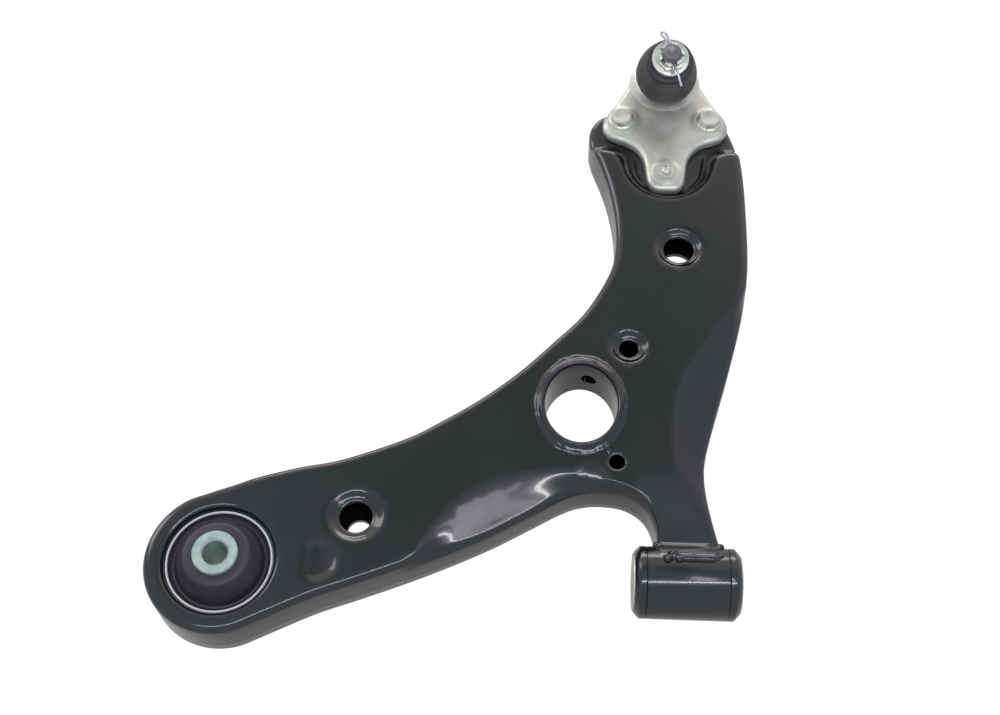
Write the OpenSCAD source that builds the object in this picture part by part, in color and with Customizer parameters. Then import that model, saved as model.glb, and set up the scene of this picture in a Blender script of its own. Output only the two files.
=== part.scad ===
/* [Arm plan] */
// Distance between the rear bush axis and the front bush centre
bush_span = 259; // [220:1:311]
// Sideways place of the ball joint, from the front bush centre
ball_x = -8.5; // [-20:0.5:5]
// Reach from the line through the bushes to the centre of the ball
ball_reach = 342.5; // [320:0.5:412]
// Distance from the centre of the ball back to the row of mounting bolts
bolt_row_back = 31; // [30:0.5:38]
// Sideways place of the centre tube
tube_x = -60; // [-70:0.5:-54]
// Distance of the centre tube from the line through the bushes
tube_y = 102.5; // [96:0.5:108]
// Radius of the arm's rounded rear end
rear_end_r = 42; // [41:0.5:50]

/* [Pressed shells] */
// Height of the upper face above the bush centre plane
top_z = 14.5; // [12:0.5:16]
// Depth of the lower rim below the bush centre plane
rim_z = 14.5; // [13:0.5:17]
// Sheet thickness of both shells
sheet = 3; // [2.4:0.1:3.6]
// Size of the rounded upper edge
edge_round = 4.5; // [2:0.5:5]
// Gap between the nested walls of the two shells
nest_gap = 0.1; // [0.05:0.05:0.3]
// How far the lower shell's floor sits inside the rim
floor_recess = 2; // [1.5:0.1:2.5]
// Height of the lower shell's upturned wall
lower_wall = 11; // [8:0.5:13]
// Width of the weld bead along the seam
seam_bead = 2.4; // [1.5:0.1:2.5]
// Depth of the pocket that the ball joint plate sits in
pocket_depth = 6.5; // [4:0.5:7]
// Radius of the pocket round the plate's tab
pocket_r = 27; // [25:0.5:30]
// Distance from the bolt row back to the centre of the pocket's round end
pocket_back = 32; // [29:0.5:34]
// Distance from the bolt row back to the pocket's side steps
pocket_side_back = 23.5; // [20:0.5:26]

/* [Holes in the shells] */
// Diameter of the two large lightening holes in the upper shell
large_hole_d = 18; // [14:0.5:20]
// Diameter of the hole under the rear lightening hole, in the lower shell
lower_rear_hole_d = 14; // [10:0.5:18]
// Diameter of the hole under the other lightening hole, in the lower shell
lower_ball_hole_d = 22; // [18:0.5:24]
// Diameter of the locating hole above the centre tube
locating_hole_d = 10.8; // [8:0.2:12]
// Diameter of the drain hole below the centre tube
drain_hole_d = 8.4; // [6:0.2:10]
// Diameter of the access holes under the ball joint fasteners
access_hole_d = 22; // [20:0.5:24]

/* [Centre tube] */
// Clear width of the centre tube
tube_w = 42; // [36:0.5:44]
// Clear length of the centre tube
tube_l = 50; // [46:0.5:52]
// Wall of the centre tube
tube_wall = 3; // [2:0.1:3.5]
// Width of the weld fillet and lip round the tube's mouth
tube_lip = 6; // [4:0.5:7]
// Height of the rolled lip above the upper face
tube_lip_h = 3.5; // [2.5:0.5:5]
// Diameter of the drain hole through the tube's far wall
tube_drain_d = 9; // [6:0.5:10]

/* [Rear bush] */
// Outer diameter of the rear bush
rear_bush_d = 60; // [52:0.5:60]
// Wall of the rear bush's outer shell
rear_shell_wall = 1.4; // [1:0.1:2]
// Height of the rear bush's outer shell above the centre plane
rear_shell_top = 11; // [8:0.5:12]
// Length of the rear bush's inner sleeve
rear_sleeve_l = 48.8; // [40:0.2:56]
// Outer diameter of the rear bush's inner sleeve
rear_sleeve_d = 25.2; // [22:0.2:28]
// Width of the open groove between the rear bush's outer shell and its rubber cone
rear_groove_w = 3.5; // [2.5:0.1:6]

/* [Front bush] */
// Outer diameter of the front bush housing
front_housing_d = 40; // [40:0.5:48]
// Length of the front bush housing
front_housing_l = 45; // [38:0.5:50]
// Wall of the front bush housing
front_housing_wall = 3; // [2.5:0.1:4]
// Thickness of the bush's flange at each end of the housing
front_flange = 3.7; // [2:0.1:5]
// Wall of the front bush's outer shell
front_shell_wall = 1.2; // [1:0.1:1.6]
// Length of the front bush's inner sleeve
front_sleeve_l = 59.4; // [56:0.2:72]
// Outer diameter of the front bush's inner sleeve
front_sleeve_d = 22; // [19:0.5:23]
// Diameter of the sleeve's end faces
front_face_d = 32.6; // [26:0.2:34]

/* [Bolts] */
// Bore of both bush sleeves
bush_bore_d = 14.2; // [12:0.1:16]

/* [Ball joint] */
// Diameter of the ball
ball_d = 23; // [20:0.5:23]
// Height of the ball's centre above the bush centre plane
ball_z = 14.5; // [12:0.5:16]
// Tilt of the socket towards the bushes
socket_tilt = 12; // [0:0.5:14]
// Lean of the stud towards the bushes, at rest
stud_lean = 20; // [12:0.5:22]
// Wall of the polymer seat
seat_wall = 2.5; // [2:0.1:3]
// Wall of the forged socket
socket_wall = 4.5; // [3.5:0.1:5]
// Wall of the socket's neck, inside the dust boot
neck_wall = 1.6; // [1.2:0.1:2]
// Thickness of the bolted plate
plate_t = 7; // [6:0.5:8]
// Distance between the two mounting bolts
bolt_spacing = 56.5; // [52:0.5:60]
// Distance from the bolt row back to the tab's rivet
tab_back = 41; // [38:0.5:42]
// Thread diameter of the mounting bolts
bolt_d = 8; // [7:0.5:9]
// Diameter of the tab rivet's shank
rivet_d = 8; // [6:0.5:8]
// Thread diameter of the stud's end
stud_d = 12; // [10:0.5:12]
// Diameter of the stud where its taper starts
taper_d = 15.6; // [14:0.2:17]
// Length from the ball's centre to the end of the stud
stud_l = 58; // [54:0.5:62]
// Distance from the ball's centre to the seat of the castle nut
nut_seat = 45.5; // [44:0.5:47]
// Height of the castle nut with its flange
nut_h = 10; // [9:0.5:11]
// Diameter of the castle nut's flange
nut_flange_d = 23.2; // [19:0.2:24]
// Diameter of the cotter pin
cotter_d = 2.8; // [2:0.1:3]
// Greatest radius of the dust boot
boot_r = 19.7; // [18:0.1:22]
// Height of the boot's widest part above the ball's centre
boot_mid = 16; // [14:0.5:18]

/* [Hidden] */
$fn = 64;

fit = 0.1;               // radial gap of a part that is pressed or dropped in
running = 0.05;          // radial gap between the ball and its seat
clear = 0.4;             // gap between pieces that move past each other
through = 60;            // length of a cutter that goes right through the arm
lap = 1;                 // extra length of a cutter past a face
spline_steps = 3;        // straight steps between two outline points

e_coat = "#1d2120";
zinc = "#b9bdb2";
bare_steel = "#8e908e";
rubber = "#242426";
polymer = "#d8d4c4";

rear = [-bush_span, 0];
tube = [tube_x, tube_y];
bolt_row = [ball_x, ball_reach - bolt_row_back];
rivet_at = bolt_row - [0, tab_back];
bolts_at = [for (side = [-1, 1]) bolt_row + [side * bolt_spacing / 2, 0]];

pocket_z = top_z - pocket_depth;
plate_top = pocket_z + plate_t;
floor_z = -rim_z + floor_recess;
ceiling_z = top_z - sheet;
inner_wall = sheet + nest_gap;
rear_seat_r = rear_bush_d / 2 + fit;
front_bore_r = front_housing_d / 2 - front_housing_wall;

// Lightening holes, each placed from the feature that it belongs to
rear_hole = rear + [73.8, 28.5];
ball_hole = bolt_row + [7.3, -98];
locating_hole = tube + [28, 40];
drain_hole = tube + [21, -36];

// The outline of the arm, clockwise seen from above, in four groups that
// follow the front bush, the centre tube, the rear bush and the ball joint.
neck_left = [[0, -12], [-13, -7], [-17, 5], [-16.6, 18], [-17.4, 30], [-23, 41.5]];
inner_bend = [[26.5, -54], [14, -52], [2, -53], [-10, -57.5], [-32, -70.5], [-54, -83]];
rear_near = [[111, 3.3], [77, -10.7], [54, -19.7], [33, -30]];
rear_far = [[4, 46.4], [16, 51.4], [39, 58.3], [63, 64.1], [98, 78.3]];
outer_bend = [[-79, -10.9], [-57.5, 4.2], [-37, 21.9], [-18, 41.9], [1, 63.6]];
ball_left = [[-36, -118], [-31.8, -99], [-32.1, -76.5], [-36, -53.5], [-41, -36.5], [-46.5, -21],
    [-48.8, -9], [-46.8, 1], [-40, 8.7], [-28, 12]];
ball_end = [[0, 10.5]];
ball_right = [[28, 12], [37, 7.5], [43.5, -7], [47.5, -23.5], [49.5, -46], [50.1, -76.5],
    [49.7, -106], [47.1, -131]];
front_far = [[94.5, 56.5], [87, 26.8], [79, -1.5]];
neck_right = [[12.2, 74], [11.1, 59.6], [12.6, 46], [15.5, 32], [18.5, 19], [18.5, 5], [13.5, -7]];
arc_step = 20;
arc_from = 304;
arc_to = 104;

function shifted(points, by) = [for (p = points) p + by];
function rear_arc() = [for (a = [arc_from:-arc_step:arc_to])
    rear + rear_end_r * [cos(a), sin(a)]];
function outline_points() = concat(neck_left, shifted(inner_bend, tube),
    shifted(rear_near, rear), rear_arc(), shifted(rear_far, rear),
    shifted(outer_bend, tube), shifted(ball_left, bolt_row), shifted(ball_end, bolt_row),
    shifted(ball_right, bolt_row), shifted(front_far, tube), neck_right);

// A smooth closed curve through the points, by the Catmull-Rom rule
function curve_point(a, b, c, d, t) = 0.5 * (2 * b + (c - a) * t
    + (2 * a - 5 * b + 4 * c - d) * t * t + (3 * b - a - 3 * c + d) * t * t * t);
function smooth(points, steps) = let (n = len(points))
    [for (i = [0:n - 1], k = [0:steps - 1])
        curve_point(points[(i + n - 1) % n], points[i], points[(i + 1) % n],
            points[(i + 2) % n], k / steps)];
// The curve moved inwards by a distance, square to itself at each point
function inset(points, by) = let (n = len(points))
    [for (i = [0:n - 1]) let (along = points[(i + 1) % n] - points[(i + n - 1) % n])
        points[i] + by * [along[1], -along[0]] / norm(along)];

arm_curve = smooth(outline_points(), spline_steps);

module slab(in, low, high) {
    translate([0, 0, low])
        linear_extrude(high - low)
            polygon(inset(arm_curve, in));
}

// A solid with the arm's outline whose upper edge is rounded in a few steps: a
// ring with the rounded section runs round the outline, and a plain slab fills it
module rounded_slab(low, high, radius) {
    band = radius + 1.5;
    section = concat([[0, low]],
        [for (a = [0, 45, 90]) [radius * (1 - cos(a)), high - radius * (1 - sin(a))]],
        [[band, high], [band, low]]);
    n = len(arm_curve);
    m = len(section);
    points = [for (s = section, p = inset(arm_curve, s[0])) [p[0], p[1], s[1]]];
    faces = [for (k = [0:m - 1], i = [0:n - 1])
        let (j = (i + 1) % n, up = (k + 1) % m)
            [k * n + i, k * n + j, up * n + j, up * n + i]];
    polyhedron(points, faces, convexity = 8);
    slab(band - lap / 2, low, high);
}

module drill(at, diameter, low = -through / 2, high = through / 2) {
    translate([at[0], at[1], low])
        cylinder(d = diameter, h = high - low);
}

// An upright oval round the centre tube's axis
module oval(width, length, low, high) {
    sides = 72;
    translate([tube[0], tube[1], low])
        linear_extrude(high - low)
            polygon([for (i = [0:sides - 1])
                [width / 2 * cos(360 * i / sides), length / 2 * sin(360 * i / sides)]]);
}

// The pocket of the plate: round the tab, then right across the arm's end
module pocket(grow, low, high) {
    wide = 200;
    side_y = bolt_row[1] - pocket_side_back - grow;
    drill(bolt_row - [0, pocket_back], 2 * (pocket_r + grow), low, high);
    translate([bolt_row[0] - wide / 2, side_y, low])
        cube([wide, wide, high - low]);
}

module front_tube_cut(radius) {
    rotate([0, 90, 0])
        cylinder(r = radius, h = 2 * front_housing_l, center = true);
}

module upper_shell() {
    color(e_coat)
        difference() {
            union() {
                difference() {
                    rounded_slab(-rim_z, top_z, edge_round);
                    pocket(0, pocket_z, top_z + lap);
                    difference() {
                        slab(sheet, -rim_z - lap, ceiling_z);
                        pocket(sheet, pocket_z - sheet, ceiling_z + lap);
                    }
                    slab(sheet, -rim_z - lap, pocket_z - sheet);
                }
                drill(rear, 2 * (rear_seat_r + sheet), floor_z + inner_wall, ceiling_z + lap / 2);
            }
            drill(rear, 2 * rear_seat_r);
            drill(rear_hole, large_hole_d);
            drill(ball_hole, large_hole_d);
            drill(locating_hole, locating_hole_d);
            drill(drain_hole, drain_hole_d);
            oval(tube_w + 2 * (tube_wall + fit), tube_l + 2 * (tube_wall + fit),
                -through / 2, through / 2);
            for (at = bolts_at)
                drill(at, bolt_d + 2 * fit);
            drill(rivet_at, rivet_d + 2 * fit);
            front_tube_cut(front_housing_d / 2 + fit);
        }
}

module lower_shell() {
    wall_in = inner_wall + sheet;
    color(e_coat)
        difference() {
            slab(inner_wall, floor_z, floor_z + lower_wall);
            slab(wall_in, floor_z + sheet, floor_z + lower_wall + lap);
            drill(rear, 2 * rear_seat_r);
            drill(rear_hole, lower_rear_hole_d);
            drill(ball_hole, lower_ball_hole_d);
            oval(tube_w + 2 * (tube_wall + fit), tube_l + 2 * (tube_wall + fit),
                -through / 2, through / 2);
            for (at = concat(bolts_at, [rivet_at]))
                drill(at, access_hole_d);
            front_tube_cut(front_housing_d / 2 + fit);
        }
}

// The bead that closes the corner between the upper rim and the lower floor
module shell_seam_weld() {
    neck_end = front_housing_d / 2 + seam_bead;
    color(e_coat)
        difference() {
            slab(sheet, -rim_z + seam_bead / 8, floor_z);
            slab(sheet + seam_bead, -rim_z - lap, floor_z + lap);
            translate([-front_housing_l, -front_housing_l, -through / 2])
                cube([2 * front_housing_l, front_housing_l + neck_end, through]);
        }
}

module centre_tube() {
    lip_top = top_z + tube_lip_h;
    color(e_coat)
        difference() {
            union() {
                oval(tube_w + 2 * tube_wall, tube_l + 2 * tube_wall, -rim_z, lip_top);
                oval(tube_w + 2 * tube_lip, tube_l + 2 * tube_lip, top_z, lip_top - 1);
            }
            oval(tube_w, tube_l, -rim_z - lap, lip_top + lap);
            translate([tube[0] + tube_drain_d / 2, tube[1], 0])
                rotate([-90, 0, 0])
                    cylinder(d = tube_drain_d, h = tube_l);
        }
}

// Weld between the tube's lower end and the floor of the lower shell
module centre_tube_weld() {
    color(e_coat)
        difference() {
            oval(tube_w + 2 * (tube_wall + seam_bead), tube_l + 2 * (tube_wall + seam_bead),
                -rim_z + seam_bead / 8, floor_z);
            oval(tube_w + 2 * tube_wall, tube_l + 2 * tube_wall,
                -through / 2, through / 2);
        }
}

// A profile of one half of a bush, completed by its mirror image
function both_ends(half) = concat(half,
    [for (i = [len(half) - 1:-1:0]) if (half[i][1] > 0) [half[i][0], -half[i][1]]]);

// A turned part that lies along X, drawn as radius against distance
module along_x() {
    rotate([0, 90, 0])
        rotate_extrude()
            children();
}

module front_bush_housing() {
    color(e_coat)
        along_x()
            translate([front_bore_r, -front_housing_l / 2])
                square([front_housing_wall, front_housing_l]);
}

// Fillets that join the neck of the arm to the housing, above and below
module front_housing_weld() {
    bead = 5;
    reach = sqrt(pow(front_housing_d / 2, 2) - pow(top_z, 2));
    length = 28;
    color(e_coat)
        difference() {
            for (side = [0, 1])
                mirror([0, 0, side])
                    translate([-length / 2, reach - 1, top_z])
                        rotate([90, 0, 90])
                            linear_extrude(length)
                                polygon([[0, 0], [bead + 1, 0], [0, bead - 1]]);
            front_tube_cut(front_housing_d / 2);
        }
}

module front_bush_outer_shell() {
    color(bare_steel)
        along_x()
            translate([front_bore_r - fit / 2 - front_shell_wall, -front_housing_l / 2])
                square([front_shell_wall, front_housing_l]);
}

// Bonded rubber with a flange at each end and cones that close on the sleeve
module front_bush_rubber() {
    inner = front_sleeve_d / 2 + fit / 2;
    outer = front_bore_r - front_shell_wall - fit;
    face = front_face_d / 2;
    half = front_housing_l / 2;
    cone_start = half + front_flange;
    cone_end = front_sleeve_l / 2 - 1;
    profile = [[outer, half], [front_housing_d / 2, half],
        [front_housing_d / 2, cone_start], [face + 2, cone_end], [face + 0.1, cone_end],
        [inner, cone_start]];
    color(rubber)
        along_x()
            polygon(both_ends(profile));
}

// Steel sleeve whose ends are upset into wide clamping faces
module front_bush_inner_sleeve() {
    bore = bush_bore_d / 2;
    body = front_sleeve_d / 2;
    face = front_face_d / 2;
    half = front_sleeve_l / 2;
    neck = front_housing_l / 2 + front_flange;
    color(zinc)
        along_x()
            polygon([[bore, -half], [face, -half], [face, -half + 1], [body, -neck],
                [body, neck], [face, half - 1], [face, half], [bore, half]]);
}

module at_rear() {
    translate([rear[0], rear[1], 0])
        children();
}

module rear_bush_outer_shell() {
    color(zinc)
        at_rear()
            rotate_extrude()
                translate([rear_bush_d / 2 - rear_shell_wall, -rear_shell_top])
                    square([rear_shell_wall, 2 * rear_shell_top]);
}

// Rubber with a groove inside the outer shell and a cone up to the sleeve
module rear_bush_rubber() {
    inner = rear_sleeve_d / 2 + fit;
    outer = rear_bush_d / 2 - rear_shell_wall - fit / 2;
    cone_top = rear_sleeve_l / 2 - 3;
    cone_r = outer - rear_groove_w;
    groove = 3.5;
    profile = [[outer, rear_shell_top - 1],
        [outer - 1.5, rear_shell_top - groove], [cone_r + 0.5, rear_shell_top - groove],
        [cone_r - 1, rear_shell_top + 1], [rear_sleeve_d / 2 + 6, cone_top - 0.5],
        [rear_sleeve_d / 2 + 4.5, cone_top], [inner, cone_top]];
    color(rubber)
        at_rear()
            rotate_extrude()
                polygon(both_ends(profile));
}

module rear_bush_inner_sleeve() {
    bore = bush_bore_d / 2;
    half = rear_sleeve_l / 2;
    color(zinc)
        at_rear()
            rotate_extrude()
                translate([bore, -half])
                    square([rear_sleeve_d / 2 - bore, 2 * half]);
}

ball_r = ball_d / 2;
seat_r = ball_r + seat_wall;
socket_r = seat_r + fit + socket_wall;
seat_top = ball_r * 0.4;
seat_bottom = -(ball_r + seat_wall - 0.5);
rim_top = seat_top + 2;
cap_t = 3;
neck_out_r = seat_r + fit + neck_wall;

// Places the children at the ball's centre, turned to the given lean
module at_ball(lean) {
    translate([ball_x, ball_reach, ball_z])
        rotate([lean, 0, 0])
            children();
}

// Half of the plate's outline, from the tab's end to the ball's side, measured
// from the middle of the bolt row
plate_half = [[6, -53.6], [11, -49], [12.6, -42], [13.2, -35], [14.8, -28.5], [18.8, -22],
    [25, -17.3], [31.5, -14.8], [37, -11.5], [40.3, -5], [39.3, 2], [35.3, 9], [31, 15.5],
    [24.5, 28.5], [20, 37], [9, 41]];
function mirrored(points) = concat(points,
    [for (i = [len(points) - 1:-1:0]) [-points[i][0], points[i][1]]]);

module plate_outline() {
    translate([bolt_row[0], bolt_row[1]])
        polygon(smooth(mirrored(plate_half), spline_steps));
}

// Forged plate with the socket, its flared collar and its neck in one piece
module ball_joint_plate() {
    collar_r = socket_r + 8;
    base = seat_bottom - cap_t;
    color(zinc)
        difference() {
            union() {
                translate([0, 0, pocket_z])
                    linear_extrude(plate_t)
                        plate_outline();
                at_ball(socket_tilt)
                    rotate_extrude()
                        polygon([[0, base], [socket_r - 1.5, base], [socket_r, base + 1.5],
                            [socket_r, 2], [neck_out_r + 2, rim_top - 2],
                            [neck_out_r, rim_top - 1.8], [neck_out_r, rim_top], [0, rim_top]]);
                difference() {
                    at_ball(socket_tilt)
                        rotate_extrude()
                            polygon([[0, -5.5], [collar_r - 1.5, -5.5], [collar_r, -3],
                                [collar_r - 4.5, 1], [socket_r - lap, 2.5], [0, 2.5]]);
                    translate([ball_x - through, ball_reach - through, pocket_z - through])
                        cube([2 * through, 2 * through, through]);
                }
                drill(rivet_at, 20, plate_top - lap, plate_top + 1);
            }
            at_ball(socket_tilt)
                rotate_extrude()
                    polygon([[0, base - lap], [seat_r + fit, base - lap],
                        [seat_r + fit, seat_top], [ball_r + 1, seat_top],
                        [ball_r + 1.5, rim_top + lap], [0, rim_top + lap]]);
            for (at = bolts_at)
                drill(at, bolt_d + 2 * fit);
            drill(rivet_at, rivet_d + 2 * fit);
        }
}

module ball_seat() {
    color(polymer)
        at_ball(socket_tilt)
            difference() {
                translate([0, 0, seat_bottom])
                    cylinder(r = seat_r, h = seat_top - seat_bottom);
                sphere(r = ball_r + running);
            }
}

module ball_joint_end_cap() {
    color(zinc)
        at_ball(socket_tilt)
            translate([0, 0, seat_bottom - cap_t + 0.5])
                cylinder(r = seat_r, h = cap_t - 0.5);
}

neck_r = ball_r * 0.58;
taper_start = ball_r + 12;
taper_end = nut_seat - 4;
cotter_h = nut_seat + nut_h - 2.6;

module ball_stud() {
    root_r = stud_d / 2 - 0.4;
    color(bare_steel)
        at_ball(stud_lean)
            difference() {
                union() {
                    sphere(r = ball_r);
                    rotate_extrude()
                        polygon([[0, 0], [neck_r, ball_r * 0.7], [neck_r, ball_r + 3],
                            [taper_d / 2, taper_start - 3], [taper_d / 2, taper_start],
                            [stud_d / 2 + 0.4, taper_end], [root_r, taper_end + 0.5],
                            [root_r, nut_seat - 1], [stud_d / 2, nut_seat],
                            [stud_d / 2, stud_l - 1.2], [stud_d / 2 - 1.2, stud_l],
                            [0, stud_l]]);
                }
                translate([0, 0, -ball_r])
                    cylinder(r = ball_r, h = 0.8);
                translate([0, 0, cotter_h])
                    rotate([90, 0, cotter_turn])
                        cylinder(d = cotter_d + 2 * fit, h = 2 * stud_d, center = true);
            }
}

boot_shoulder = nut_seat - 4.5;
boot_top = nut_seat - 2;
boot_wall = 2;
boot_lean = (socket_tilt + stud_lean) / 2;
boot_lip = rim_top + clear;
lip_angle = asin((boot_lip - boot_mid) / boot_r);
shoulder_r = taper_d / 2 + 7;

// Hollow rubber boot between the socket's neck and the stud's taper: a round
// bulge, then a cone up to a shoulder that folds in to the stud
module dust_boot() {
    bulge = [for (i = [0:4]) let (a = lip_angle + i * (14 - lip_angle) / 4)
        [cos(a), sin(a)]];
    outer = concat([for (p = bulge) [boot_r * p[0], boot_mid + boot_r * p[1]]],
        [[shoulder_r, boot_shoulder], [shoulder_r - 2, boot_top - 1]]);
    inner = concat([[shoulder_r - 3, boot_shoulder - boot_wall]],
        [for (i = [4:-1:0]) let (r = boot_r - boot_wall)
            [r * bulge[i][0], boot_mid + r * bulge[i][1]]]);
    mouth = taper_d / 2 + clear;
    color(rubber)
        difference() {
            at_ball(boot_lean)
                rotate_extrude()
                    polygon(concat(outer, [[0, boot_top - 1], [0, boot_shoulder - boot_wall]],
                        inner));
            at_ball(socket_tilt)
                translate([0, 0, -ball_r])
                    cylinder(r = 2 * socket_r, h = ball_r + rim_top + clear);
            at_ball(stud_lean)
                cylinder(r = mouth, h = stud_l);
            at_ball(stud_lean)
                translate([0, 0, boot_top - 1.2 - clear])
                    cylinder(r = mouth + 2.6 + clear, h = stud_l);
        }
}

// Wire ring that holds the boot's lower lip on the socket
module boot_lower_ring() {
    color(bare_steel)
        at_ball(socket_tilt)
            rotate_extrude()
                translate([neck_out_r + fit, rim_top - 1.6])
                    square([1.2, 1.2]);
}

// Wire ring that holds the boot's upper lip on the taper
module boot_upper_ring() {
    ring_in = taper_d / 2 + clear;
    color(bare_steel)
        at_ball(stud_lean)
            rotate_extrude()
                translate([ring_in, boot_top - 1.2])
                    square([2.6, 1.2]);
}

nut_flange_h = 2.4;
nut_across = 17;
crown_h = 4.6;
cotter_turn = 15;

module castle_nut() {
    color(zinc)
        at_ball(stud_lean)
            translate([0, 0, nut_seat])
                difference() {
                    union() {
                        cylinder(d = nut_flange_d, h = nut_flange_h);
                        rotate([0, 0, cotter_turn])
                            cylinder(d = nut_across / cos(30), h = nut_h - crown_h, $fn = 6);
                        cylinder(d = nut_across - 1, h = nut_h);
                    }
                    translate([0, 0, -lap])
                        cylinder(d = stud_d + fit, h = nut_h + 2 * lap);
                    for (i = [0:2])
                        rotate([0, 0, cotter_turn + 60 * i])
                            translate([-cotter_d / 2 - 0.3, -nut_across, nut_h - crown_h])
                                cube([cotter_d + 0.6, 2 * nut_across, crown_h + lap]);
                }
}

// Split pin through the stud and the nut's slots: an eye, a shank and two legs
module cotter_pin() {
    wire = cotter_d / 2;
    shank = nut_across / 2 + 1;
    eye_r = 2.6;
    leg = 9;
    color(zinc)
        at_ball(stud_lean)
            translate([0, 0, cotter_h])
                rotate([0, 0, cotter_turn]) {
                    rotate([90, 0, 0])
                        cylinder(d = cotter_d, h = 2 * shank, center = true);
                    translate([0, shank + eye_r - wire / 2, 0])
                        rotate_extrude()
                            translate([eye_r, 0])
                                circle(d = wire);
                    translate([0, -shank, 0])
                        sphere(d = cotter_d);
                    translate([0, -shank, 0])
                        rotate([105, 0, 0])
                            cylinder(d = wire, h = leg);
                    translate([0, -shank, wire / 2])
                        rotate([75, 0, 0])
                            cylinder(d = wire, h = leg / 2);
                }
}

bolt_head_d = 13.6;
bolt_head_h = 4.6;
bolt_flange_d = 16.5;
bolt_flange_h = 1.4;
bolt_nut_across = 13;
bolt_nut_h = 8;
bolt_low = pocket_z - sheet - bolt_nut_h - 2;

module mounting_bolts() {
    color(zinc)
        for (at = bolts_at) {
            drill(at, bolt_flange_d, plate_top, plate_top + bolt_flange_h);
            drill(at, bolt_head_d, plate_top, plate_top + bolt_head_h);
            drill(at, bolt_d, bolt_low, plate_top + lap);
        }
}

module mounting_nuts() {
    color(zinc)
        for (at = bolts_at)
            difference() {
                union() {
                    translate([at[0], at[1], pocket_z - sheet - bolt_nut_h])
                        cylinder(d = bolt_nut_across / cos(30), h = bolt_nut_h, $fn = 6);
                    drill(at, bolt_nut_across + 1, pocket_z - sheet - 1.5, pocket_z - sheet);
                }
                drill(at, bolt_d + fit);
            }
}

module tab_rivet() {
    head_d = rivet_d + 2.4;
    color(zinc) {
        drill(rivet_at, head_d, plate_top + 1, plate_top + 2);
        drill(rivet_at, head_d - 4.4, plate_top + 1, plate_top + 3.4);
        drill(rivet_at, rivet_d, pocket_z - sheet - lap, plate_top + 1 + lap / 2);
        drill(rivet_at, head_d + 1, pocket_z - sheet - 2, pocket_z - sheet);
    }
}

upper_shell();
lower_shell();
shell_seam_weld();
centre_tube();
centre_tube_weld();
front_bush_housing();
front_housing_weld();
front_bush_outer_shell();
front_bush_rubber();
front_bush_inner_sleeve();
rear_bush_outer_shell();
rear_bush_rubber();
rear_bush_inner_sleeve();
ball_joint_plate();
ball_seat();
ball_joint_end_cap();
ball_stud();
dust_boot();
boot_lower_ring();
boot_upper_ring();
castle_nut();
cotter_pin();
mounting_bolts();
mounting_nuts();
tab_rivet();
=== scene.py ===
from math import cos, hypot, pi, radians, sin, sqrt
import bmesh
import bpy
from mathutils import Matrix, Vector, kdtree, noise


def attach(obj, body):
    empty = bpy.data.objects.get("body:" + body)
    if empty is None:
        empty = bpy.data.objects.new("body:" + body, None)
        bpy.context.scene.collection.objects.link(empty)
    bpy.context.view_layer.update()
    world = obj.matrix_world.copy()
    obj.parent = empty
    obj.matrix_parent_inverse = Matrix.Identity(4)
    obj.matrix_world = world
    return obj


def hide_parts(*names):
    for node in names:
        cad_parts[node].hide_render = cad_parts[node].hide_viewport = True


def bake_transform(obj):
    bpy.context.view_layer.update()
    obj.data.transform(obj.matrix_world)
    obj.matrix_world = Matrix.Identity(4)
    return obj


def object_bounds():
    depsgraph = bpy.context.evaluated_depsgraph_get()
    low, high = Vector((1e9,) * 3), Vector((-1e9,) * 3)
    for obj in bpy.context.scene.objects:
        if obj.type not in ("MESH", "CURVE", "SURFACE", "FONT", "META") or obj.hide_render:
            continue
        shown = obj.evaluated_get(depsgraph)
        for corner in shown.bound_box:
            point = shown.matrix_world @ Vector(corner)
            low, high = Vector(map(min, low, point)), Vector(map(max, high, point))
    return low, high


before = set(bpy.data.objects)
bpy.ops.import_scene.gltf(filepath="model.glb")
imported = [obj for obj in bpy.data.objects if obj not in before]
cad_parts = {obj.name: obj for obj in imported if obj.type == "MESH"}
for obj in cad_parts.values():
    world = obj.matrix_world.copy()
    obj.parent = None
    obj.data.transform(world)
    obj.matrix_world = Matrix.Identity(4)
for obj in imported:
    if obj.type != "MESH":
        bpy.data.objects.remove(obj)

cad_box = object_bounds()

# ---- Camera -------------------------------------------------------------
# A studio camera that looks down on the arm from the side of the bushes, about
# sixty degrees above the floor, with a 52 mm lens.
mm = 0.001
eye = Vector((-79.65, -286.58, 764.43)) * mm
backwards = Vector((0.03356, -0.48719, 0.87265)).normalized()
sideways = Vector((0.99902, 0.04152, -0.01525))
sideways = (sideways - backwards * sideways.dot(backwards)).normalized()
upwards = backwards.cross(sideways)
lens = bpy.data.cameras.new("camera")
lens.sensor_width = 36
lens.lens = 52.2
lens.clip_start = 0.01
camera = bpy.data.objects.new("camera", lens)
bpy.context.scene.collection.objects.link(camera)
turn = Matrix((sideways, upwards, backwards)).transposed()
camera.matrix_world = Matrix.Translation(eye) @ turn.to_4x4()
bpy.context.scene.camera = camera


# ---- Studio -------------------------------------------------------------
# A white table in a pale room. The table is white to the eye and grey to the
# things on it, the far wall is warmer than the near one, and one small patch high
# on the far side is dark. Four soft lamps draw the bright lines on the edges.
def linked(mesh, name):
    thing = bpy.data.objects.new(name, mesh)
    bpy.context.scene.collection.objects.link(thing)
    return thing


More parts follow.
